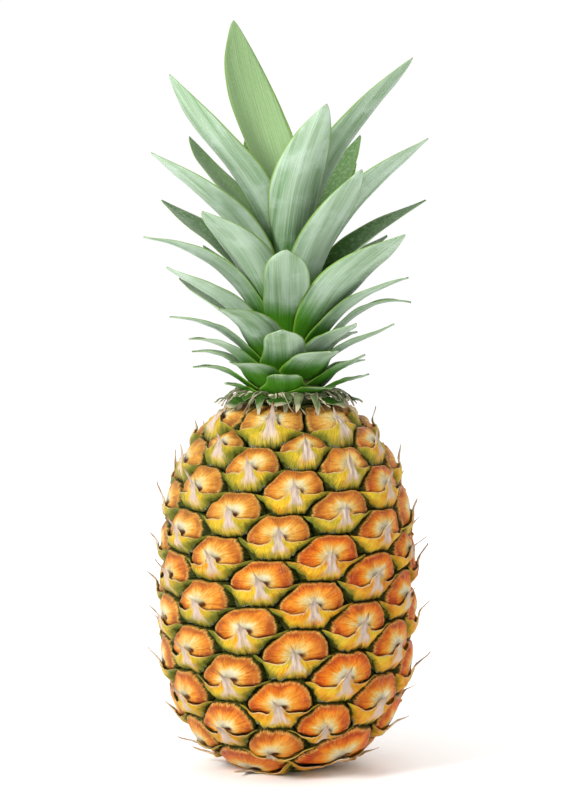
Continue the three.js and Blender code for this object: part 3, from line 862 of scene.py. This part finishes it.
def bract_lower(eye, side):
    """The lower edge of a bract in disc coordinates, for side from -1 (left wing) to 1 (right wing)."""
    angle = math.radians(-90 + 79 * side)
    wide = abs(side)
    reach = mix(0.98, 0.90, smooth(0.36, 0.66, wide))
    reach = mix(reach, 1.10, smooth(0.72, 1.0, wide) ** 1.3)
    teeth = 0.040 * math.sin(33 * side + 7 * eye.tone[2]) + 0.035 * math.sin(71 * side + eye.number)
    reach += teeth * smooth(1.0, 0.8, wide)
    return reach * math.cos(angle), reach * math.sin(angle)


def bract_upper(eye, side):
    """The lip of a bract in disc coordinates, drawn up to a narrow tip in the middle."""
    x = 1.08 * side
    wide = abs(x)
    peak = max(0.0, 1 - wide / 0.29) ** 2.2 * eye.tip_rise
    return x, lip_height(eye, x) + peak


def bract_point(eye, side, up):
    """A place on the bract: side from wing to wing, up from the lower edge (0) to the lip (1)."""
    x0, y0 = bract_lower(eye, side)
    x1, y1 = bract_upper(eye, side)
    x, y = mix(x0, x1, up), mix(y0, y1, up ** 0.85)
    above = max(0.0, y + 0.20)
    lean = eye.tip_lean * above ** 1.6
    reach = min(math.hypot(x + lean, y), 1.15)
    angle = from_disc_angle(eye, math.atan2(y, x + lean))
    crest, normal, depth, dome = rim_at(eye, angle)
    place, facing = crest_at(eye, rim_share(dome, reach), crest, normal)
    wide = abs(side)
    dip = 1.4 * min(reach, 1.0) ** 3.2
    lift = mix(-2.0, 0.8, smooth(0.0, 0.6, up)) + 0.6 * smooth(0.7, 1.0, up) - dip
    lift = mix(lift, -2.1, smooth(0.62, 1.0, wide))
    pleats = 0.4 * math.sin(46 * side + 9 * eye.tone[2]) * smooth(0.6, 0.1, wide) * smooth(0.1, 0.5, up)
    stand = eye.tip_stand * smooth(0.0, 0.8, above) * above
    keel = 0.9 * smooth(0.16, 0.0, wide) * smooth(0.2, 0.9, up)
    flat = depth / GROOVE
    lift = mix(0.3, 1.0, flat) * (lift + pleats + keel)
    place = place + facing * (lift * MM + stand * MM)
    place.z = max(place.z, 0.4 * MM)
    return place, facing, (x, y)


def close_sheet(build, top, under, discs, scales, tone):
    """Joins the upper and under side of a sheet of points along its four edges."""
    last = len(top) - 1
    edge = [(0, c) for c in range(len(top[0]))]
    edge += [(r, len(top[0]) - 1) for r in range(1, last + 1)]
    edge += [(last, c) for c in reversed(range(len(top[0]) - 1))]
    edge += [(r, 0) for r in reversed(range(1, last))]
    upper, lower, disc, scale = (
        [rows[r][c] for r, c in edge] for rows in (top, under, discs, scales)
    )
    tones = [tone] * len(edge)
    build.strip(lower, upper, closed=True, disc=(disc, disc), scale=(scale, scale), tone=(tones, tones))


def bract(build, eye, sides):
    """The scale of one eye as a closed thin sheet, in rows from its lower edge to its lip."""
    top, under, discs, scales = [], [], [], []
    for r in range(BRACT_ROWS + 1):
        up = r / BRACT_ROWS
        row = [bract_point(eye, side, up) for side in sides]
        top.append([build.add(point) for point, _, _ in row])
        under.append([build.add(point - facing * BRACT_THICKNESS) for point, facing, _ in row])
        discs.append([disc for _, _, disc in row])
        scales.append([(side * 0.5 + 0.5, up) for side in sides])
    tones = [eye.tone] * len(sides)
    values = [{"disc": disc, "scale": scale, "tone": tones} for disc, scale in zip(discs, scales)]
    for r in range(BRACT_ROWS):
        build.strip(top[r], top[r + 1], **paired(values[r], values[r + 1]))
        build.strip(under[r + 1], under[r], **paired(values[r + 1], values[r]))
    close_sheet(build, top, under, discs, scales, eye.tone)


def make_bracts():
    """The dry scales of all eyes. Their columns lie closest together around the tip."""
    build = Build()
    sides = [2 * column / BRACT_COLUMNS - 1 for column in range(BRACT_COLUMNS + 1)]
    sides = [math.copysign(abs(side) ** 1.5, side) for side in sides]
    for eye in EYES:
        eye.tip_rise = eye.rng.uniform(0.48, 0.82)
        eye.tip_lean = eye.rng.uniform(-0.40, 0.25)
        eye.tip_stand = eye.rng.uniform(5.0, 9.0)
        bract(build, eye, sides)
    bracts = build.make("eye_bracts", bract_material(), merge=0.5e-7)
    return bracts


# ---- Leaves ----

BLADE_STEPS = 44
BLADE_COLUMNS = 12
BLADE_UVS = ("blade", "veins")  # from margin to margin and foot to tip, and in tenths of a metre
VEIN_SCALE = 10
RING_POINTS = 8  # points of a CAD leaf at each of its rings, and round its tip


def leaf_stations(node):
    """Left margin, middle and right margin of a CAD leaf at each of its rings, from foot to tip."""
    points, neighbours = surface_of(node)
    ends = [v for v, near in enumerate(neighbours) if len(near) == RING_POINTS]
    tip = max(ends, key=lambda v: math.hypot(points[v].x, points[v].y))
    rings = [ring for ring in rings_from(tip, neighbours) if len(ring) == RING_POINTS]
    stations = []
    for ring in reversed(rings):
        middle = mean(points[v] for v in ring)
        outwards = Vector((middle.x, middle.y, 0)).normalized()
        side = UP.cross(outwards)
        order = sorted(ring, key=lambda v: points[v].dot(side))
        left, right = points[order[0]], points[order[-1]]
        inner = sorted(order[1:-1], key=lambda v: abs((points[v] - middle).dot(side)))[:2]
        stations.append((left, mean(points[v] for v in inner), right))
    stations.append((points[tip],) * 3)
    return stations


def on_curve(points, share):
    """A smooth curve through the points (Catmull-Rom), at a share of its length in steps."""
    place = min(max(share, 0.0), 1.0) * (len(points) - 1)
    i = min(int(place), len(points) - 2)
    t = place - i
    a = points[max(i - 1, 0)]
    b, c = points[i], points[i + 1]
    d = points[min(i + 2, len(points) - 1)]
    square = 2 * a - 5 * b + 4 * c - d
    cube = 3 * b - a - 3 * c + d
    return 0.5 * (2 * b + (c - a) * t + square * t * t + cube * t ** 3)


def curl(across, along, crimp, seed):
    """How far a blade waves out of its plane, with a finer frill at its margins."""
    wave = crimp * wobble((across * 0.8, along * 7, seed), 1.0, seed) * smooth(0.1, 0.5, along)
    frill = crimp * 0.4 * math.sin(19 * along + 5 * seed + across) * abs(across) ** 3
    return wave + frill * smooth(0.2, 0.5, along)


def blade_row(build, curves, along, length, thickness, crimp, seed):
    """Points across a leaf, on its outer and inner side, and their two kinds of UVs."""
    left, middle, right = (on_curve(curve, along) for curve in curves)
    ahead = on_curve(curves[1], along + 0.02) - on_curve(curves[1], along - 0.02)
    half = (right - left) / 2
    sag = (left + right) / 2 - middle
    row = {"outer": [], "inner": [], "blade": [], "veins": []}
    for column in range(BLADE_COLUMNS + 1):
        across = 2 * column / BLADE_COLUMNS - 1
        facing = (half + 2 * sag * across).cross(ahead).normalized()
        body = thickness * mix(1.0, 0.45, along) * (1 - 0.86 * across * across)
        place = middle + half * across + sag * across * across
        place = place + facing * curl(across, along, crimp, seed)
        row["outer"].append(build.add(place + facing * body / 2))
        row["inner"].append(build.add(place - facing * body / 2))
        row["blade"].append((across * 0.5 + 0.5, along))
        row["veins"].append((across * half.length * VEIN_SCALE, along * length * VEIN_SCALE))
    return row


def blade(build, stations, tone, thickness, crimp, seed):
    """A leaf as a closed thin sheet over its stations, thick in the middle and thin at both margins."""
    curves = [[station[k] for station in stations] for k in range(3)]
    length = sum((b[1] - a[1]).length for a, b in zip(stations, stations[1:]))
    shares = [(step / BLADE_STEPS) ** 0.93 for step in range(BLADE_STEPS)]
    rows = [blade_row(build, curves, along, length, thickness, crimp, seed) for along in shares]
    tip = {"point": build.add(stations[-1][1]), "blade": (0.5, 1.0), "veins": (0.0, length * VEIN_SCALE)}
    tones = {"outer": (1.0, *tone), "inner": (0.0, *tone)}
    for row, ahead in zip(rows, rows[1:]):
        for side, value in tones.items():
            uvs = {key: (row[key], ahead[key]) for key in BLADE_UVS}
            listed = [value] * (BLADE_COLUMNS + 1)
            build.strip(row[side], ahead[side], tone=(listed, listed), **uvs)
    last = rows[-1]
    for side, value in tones.items():
        for c in range(BLADE_COLUMNS):
            uvs = {key: [last[key][c], last[key][c + 1], tip[key]] for key in BLADE_UVS}
            build.face([last[side][c], last[side][c + 1], tip["point"]], tone=[value] * 3, **uvs)
    for column in (0, BLADE_COLUMNS):
        close_margin(build, rows, tip, column, tones["outer"])
    foot = rows[0]
    listed = [tones["outer"]] * (BLADE_COLUMNS + 1)
    uvs = {key: (foot[key], foot[key]) for key in BLADE_UVS}
    build.strip(foot["outer"], foot["inner"], tone=(listed, listed), **uvs)


def close_margin(build, rows, tip, column, tone):
    """Joins the two sides of a leaf along one margin, up to the tip."""
    for row, ahead in zip(rows, rows[1:]):
        around = ((row, "outer"), (ahead, "outer"), (ahead, "inner"), (row, "inner"))
        corners = [at[side][column] for at, side in around]
        uvs = {key: [at[key][column] for at, _ in around] for key in BLADE_UVS}
        build.face(corners, tone=[tone] * 4, **uvs)
    last = rows[-1]
    uvs = {key: [last[key][column], tip[key], last[key][column]] for key in BLADE_UVS}
    build.face([last["outer"][column], tip["point"], last["inner"][column]], tone=[tone] * 3, **uvs)


def make_crown():
    """The crown's leaves, from the outermost to the innermost, each in place of its CAD leaf."""
    names = sorted(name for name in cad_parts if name.startswith("crown_leaf"))
    material = leaf_material()
    for rank, name in enumerate(names):
        rng = random.Random(LEAF_SEED + rank)
        share = rank / (len(names) - 1)
        build = Build()
        tone = (share, rng.random())
        body = mix(1.5, 1.9, share) * MM
        blade(build, leaf_stations(name), tone, body, crimp=0.35 * MM, seed=rng.uniform(0, 20))
        leaf = build.make(name.replace("crown_leaf", "leaf"), material)
        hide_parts(name)


def make_collar():
    """The larger leaves that lie on the fruit's shoulder, each in place of its CAD leaf."""
    names = sorted(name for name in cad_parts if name.startswith("collar_leaf"))
    material = dry_leaf_material()
    for rank, name in enumerate(names):
        rng = random.Random(COLLAR_SEED + rank)
        build = Build()
        tone = (0.0, rng.random())
        blade(build, leaf_stations(name), tone, 0.9 * MM, crimp=1.2 * MM, seed=rng.uniform(0, 20))
        leaf = build.make(name.replace("collar_leaf", "dry_leaf"), material)
        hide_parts(name)


FRINGE_STATIONS = 8
# Widths, lifts, reaches and drops are in mm. An offset is a share of the step round the crown.
FRINGE_KINDS = (
    {"count": 23, "width": 8.5, "offset": 0.0, "straw": 0.0, "lift": 0.0, "sway": 1,
     "reach": (9.0, 14.0), "drop": (-11.0, -4.0)},
    {"count": 23, "width": 5.0, "offset": 0.5, "straw": 0.80, "lift": 0.0, "sway": 1,
     "reach": (6.0, 9.0), "drop": (-3.5, 0.0)},
    {"count": 40, "width": 1.1, "offset": 0.2, "straw": 0.55, "lift": 0.6, "sway": 3,
     "reach": (9.0, 14.0), "drop": (-11.0, -4.0)},
)


def fringe_leaf(build, bearing, curve, width, sway, tone, rng):
    """A small leaf along a curve of (reach, height) points that hangs over the shoulder of the fruit."""
    stations = []
    for step in range(FRINGE_STATIONS + 1):
        share = step / FRINGE_STATIONS
        flat = on_curve([Vector((reach, height, 0)) for reach, height in curve], share)
        half = 0.5 * width * (1 - share ** 1.7)
        turn = bearing + sway * share ** 2
        row = []
        for side in (-1, 0, 1):
            angle = turn + side * half / flat.x
            cup = 0.18 * half * abs(side)
            row.append(Vector((math.sin(angle) * flat.x, -math.cos(angle) * flat.x, flat.y - cup)))
        stations.append(tuple(row))
    blade(build, stations, tone, 0.5 * MM, crimp=0.9 * MM, seed=rng.uniform(0, 20))


def fringe_curve(foot, reach, drop, lift):
    """From the crown's stem up and over the shoulder of the fruit, as (reach, height) points."""
    return [
        (foot, FRUIT_TOP + 3.4 * MM),
        (foot + 0.45 * reach, FRUIT_TOP + 4.4 * MM + lift),
        (foot + 0.85 * reach, FRUIT_TOP + 1.8 * MM + lift),
        (foot + reach + 2.5 * MM, FRUIT_TOP + drop + 2.5 * MM + lift),
    ]


def make_fringe():
    """A ring of small green leaves between the crown and the fruit, one of dry ones, and dry strands."""
    rng = random.Random(FRINGE_SEED)
    build = Build()
    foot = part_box("crown_stem")[1][0] + 1.5 * MM
    for kind in FRINGE_KINDS:
        for i in range(kind["count"]):
            bearing = (i + kind["offset"] + rng.uniform(-0.2, 0.2)) / kind["count"] * math.tau
            reach = rng.uniform(*kind["reach"]) * MM
            drop = rng.uniform(*kind["drop"]) * MM
            lift = (rng.uniform(0.0, 1.6) + kind["lift"]) * MM
            sway = rng.uniform(-0.12, 0.12) * kind["sway"]
            tone = (min(kind["straw"] + rng.uniform(0.0, 0.25), 1.0), rng.random())
            curve = fringe_curve(foot, reach, drop, lift)
            fringe_leaf(build, bearing, curve, kind["width"] * MM, sway, tone, rng)
    fringe = build.make("collar_fringe", dry_leaf_material())


def finish_cad_nodes():
    """The stalk and the crown's stem keep their CAD shape and get their own materials."""
    for name, material in (("cut_stalk", stalk_material()), ("crown_stem", stem_material())):
        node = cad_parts[name]
        node.data.materials.clear()
        node.data.materials.append(material)


# ---- Studio ----

CAMERA_RISE = math.radians(4.5)
CAMERA_DISTANCE = 1.40
CAMERA_AIM = 0.491  # height that the camera looks at, as a share of the part's height
VIEW_HEIGHT = 1.0635  # what the picture takes in, as a share of the part's height
SENSOR = 24  # mm
FLOOR_REACH = 6.0
LIGHT_AIM = Vector((0, 0, 0.17))


def make_camera():
    """A camera a little above the middle of the part, in front of it."""
    low, high = CAD_BOX
    tall = high[2] - low[2]
    target = Vector((-0.001, 0, low[2] + CAMERA_AIM * tall))
    camera = bpy.data.cameras.new("camera")
    camera.sensor_fit = "VERTICAL"
    camera.sensor_height = SENSOR
    camera.lens = SENSOR * CAMERA_DISTANCE / (VIEW_HEIGHT * tall)
    holder = bpy.data.objects.new("camera", camera)
    holder.location = target + Vector((0, -math.cos(CAMERA_RISE), math.sin(CAMERA_RISE))) * CAMERA_DISTANCE
    holder.rotation_euler = (math.pi / 2 - CAMERA_RISE, 0, 0)
    bpy.context.scene.collection.objects.link(holder)
    bpy.context.scene.camera = holder


def area_light(name, place, size, power):
    """A round soft light aimed at the middle of the part."""
    light = bpy.data.lights.new(name, "AREA")
    light.shape = "DISK"
    light.size = size
    light.energy = power
    holder = bpy.data.objects.new(name, light)
    holder.location = place
    aim = LIGHT_AIM - Vector(place)
    holder.rotation_euler = aim.to_track_quat("-Z", "Y").to_euler()
    bpy.context.scene.collection.objects.link(holder)


def make_studio():
    """A plain white floor, a key light from the left, a weak one from behind and a white surround."""
    build = Build()
    around = ((-1, -1), (1, -1), (1, 1), (-1, 1))
    build.face([build.add((x * FLOOR_REACH, y * FLOOR_REACH, 0)) for x, y in around])
    floor = build.make("floor", floor_material())
    area_light("key", (-1.1, -1.0, 1.0), 0.6, 27)
    area_light("back", (0.3, 1.3, 1.2), 0.8, 5)
    world = bpy.data.worlds.new("studio")
    world.use_nodes = True
    world.node_tree.nodes["Background"].inputs["Color"].default_value = (1, 1, 1, 1)
    world.node_tree.nodes["Background"].inputs["Strength"].default_value = 1.02
    bpy.context.scene.world = world
    bpy.context.scene.view_settings.view_transform = "Standard"


make_rind()
make_bracts()
make_crown()
make_collar()
make_fringe()
finish_cad_nodes()
make_camera()
make_studio()
